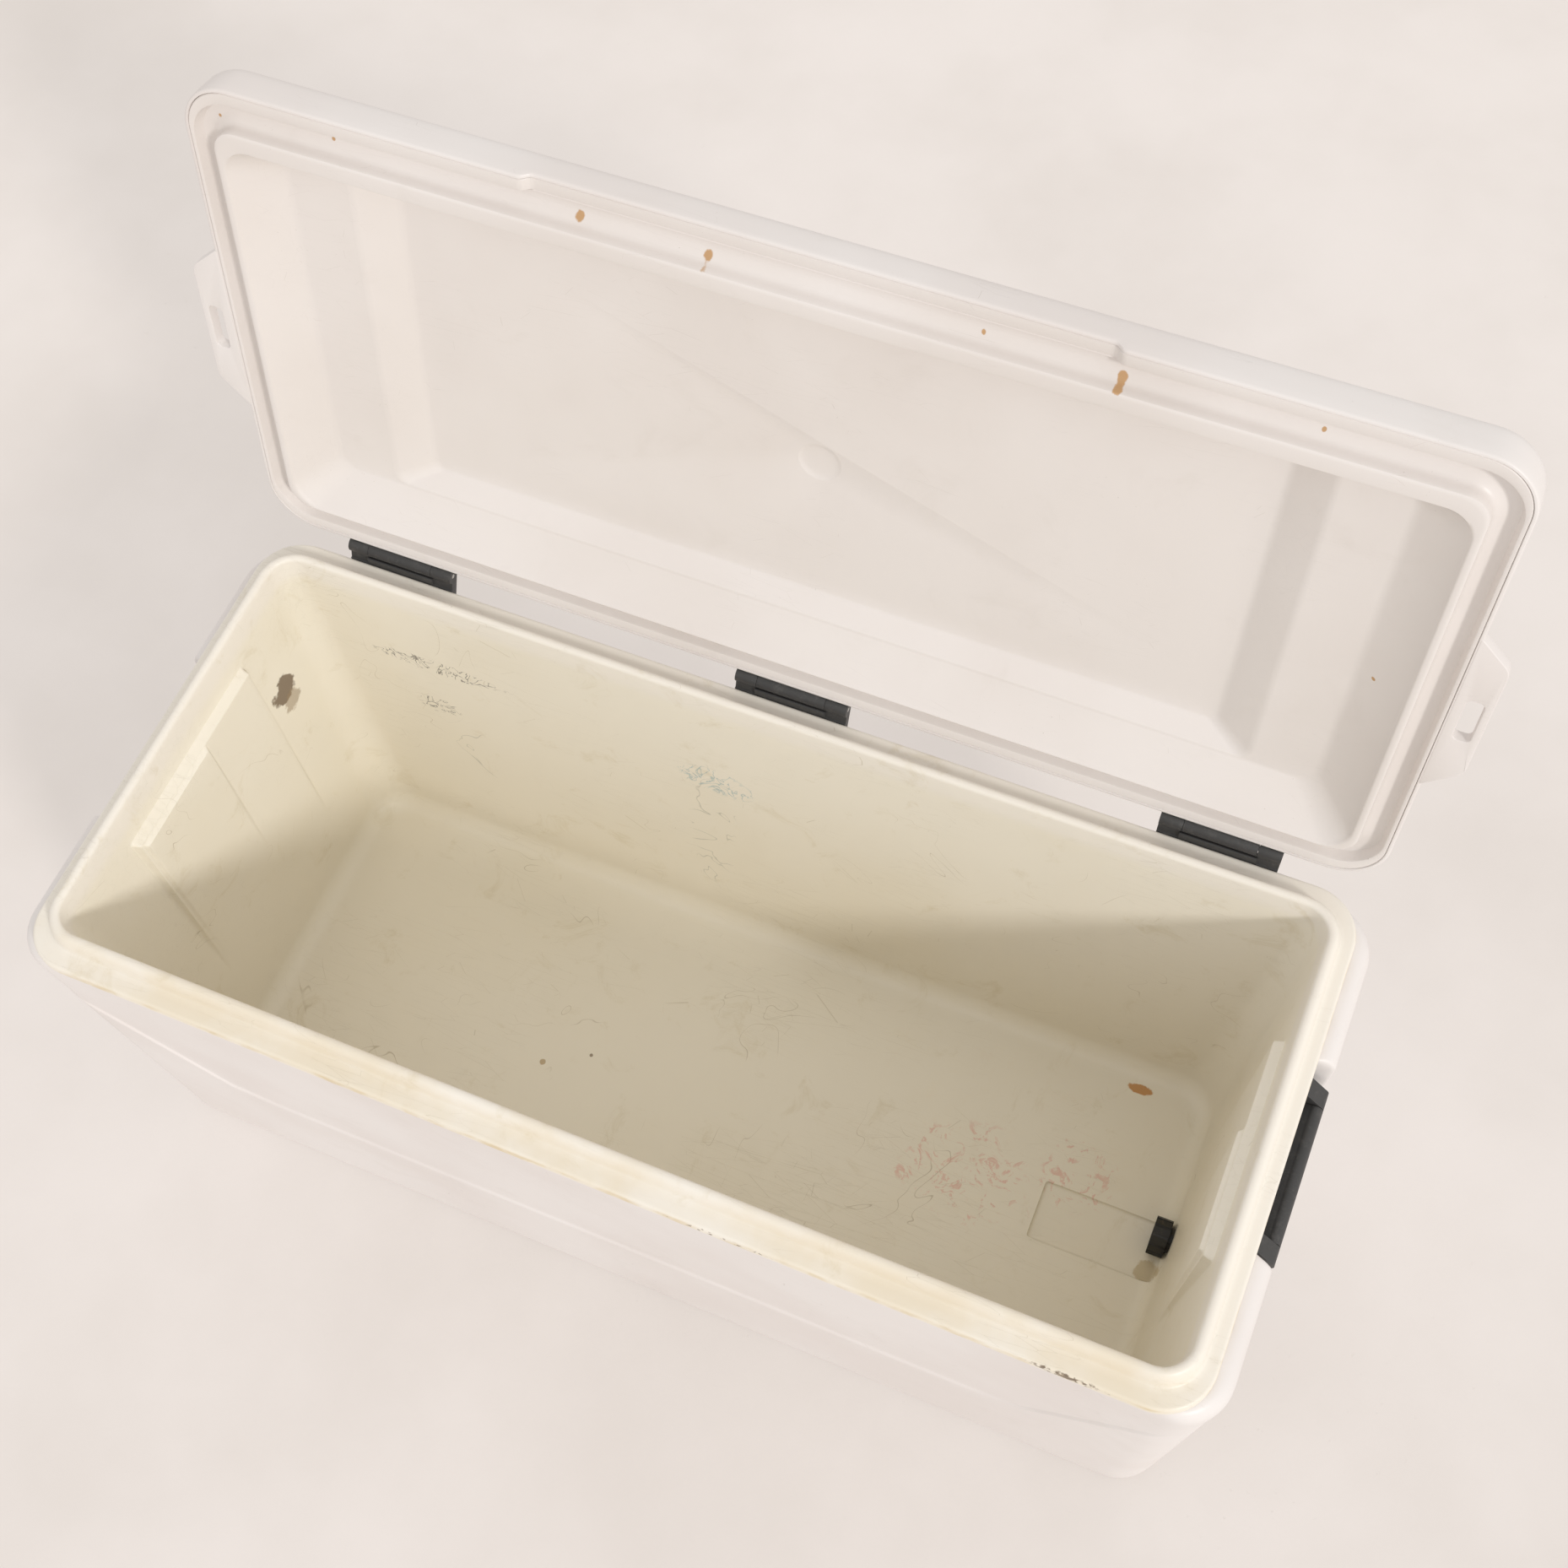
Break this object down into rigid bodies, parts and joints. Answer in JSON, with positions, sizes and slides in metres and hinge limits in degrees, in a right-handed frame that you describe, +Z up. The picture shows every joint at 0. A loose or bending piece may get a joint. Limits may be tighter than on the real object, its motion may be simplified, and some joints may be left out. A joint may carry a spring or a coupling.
{
  "type": "cooler chest",
  "caption": "Large insulated cooler chest: a deep cream liner in a white shell, a hinged lid leaning back open, bail handles in end scoops and a drain at floor level.",
  "frame": {"origin": "centre of the base face, on the surface that the chest stands on", "axes": "+X along the chest, towards the drain end; +Y towards the hinges at the back; +Z up"},
  "size_m": [0.973, 0.5216, 0.7983],
  "materials": {
    "white_shell": "satin moulded polyethylene, faintly warm white",
    "lid_panel": "satin moulded polyethylene, scuffed white",
    "cream_liner": "satin moulded plastic, yellowed with age",
    "foam": "rigid insulating foam",
    "charcoal_plastic": "fine-grained moulded charcoal",
    "black_fitting": "smooth moulded black",
    "seal_rubber": "soft matt rubber",
    "steel": "plated steel"
  },
  "bodies": {
    "root": {"outer_shell": "white_shell", "foam_core": "foam", "inner_liner": "cream_liner", "hinge_left_body_leaf": "charcoal_plastic", "hinge_left_pin": "steel", "hinge_middle_body_leaf": "charcoal_plastic", "hinge_middle_pin": "steel", "hinge_right_body_leaf": "charcoal_plastic", "hinge_right_pin": "steel", "hinge_body_screws": "steel", "handle_left_bracket": "charcoal_plastic", "handle_left_pin": "steel", "handle_right_bracket": "charcoal_plastic", "handle_right_pin": "steel", "handle_screws": "steel", "drain_spout": "black_fitting", "drain_nut": "black_fitting", "drain_gasket": "seal_rubber"},
    "lid": {"lid_shell": "white_shell", "lid_foam": "foam", "lid_liner": "lid_panel", "hinge_left_lid_leaf": "charcoal_plastic", "hinge_middle_lid_leaf": "charcoal_plastic", "hinge_right_lid_leaf": "charcoal_plastic", "hinge_lid_screws": "steel"},
    "left_bail": {"handle_left_bail": "charcoal_plastic"},
    "right_bail": {"handle_right_bail": "charcoal_plastic"},
    "cap_travel": {"drain_cap_gasket": "seal_rubber"},
    "cap": {"drain_cap": "black_fitting"}
  },
  "joints": [
    {"name": "lid_hinge", "type": "hinge", "parent": "root", "child": "lid", "pos_m": [0, 0.2134, 0.3851], "axis": [1, 0, 0], "range_deg": [0, 100]},
    {"name": "left_handle_swing", "type": "hinge", "parent": "root", "child": "left_bail", "pos_m": [-0.4735, 0, 0.331], "axis": [0, 1, 0], "range_deg": [0, 95]},
    {"name": "right_handle_swing", "type": "hinge", "parent": "root", "child": "right_bail", "pos_m": [0.4735, 0, 0.331], "axis": [0, -1, 0], "range_deg": [0, 95]},
    {"name": "drain_cap_turn", "type": "hinge", "parent": "cap_travel", "child": "cap", "pos_m": [0.457, 0.0135, 0.0465], "axis": [1, 0, 0], "range_deg": [0, 1080]},
    {"name": "drain_cap_slide", "type": "slide", "parent": "root", "child": "cap_travel", "axis": [1, 0, 0], "range_m": [0, 0.012]}
  ],
  "couplings": [
    {"joint": "drain_cap_slide", "follows": "drain_cap_turn", "m_per_rad": 0.00063662}
  ]
}
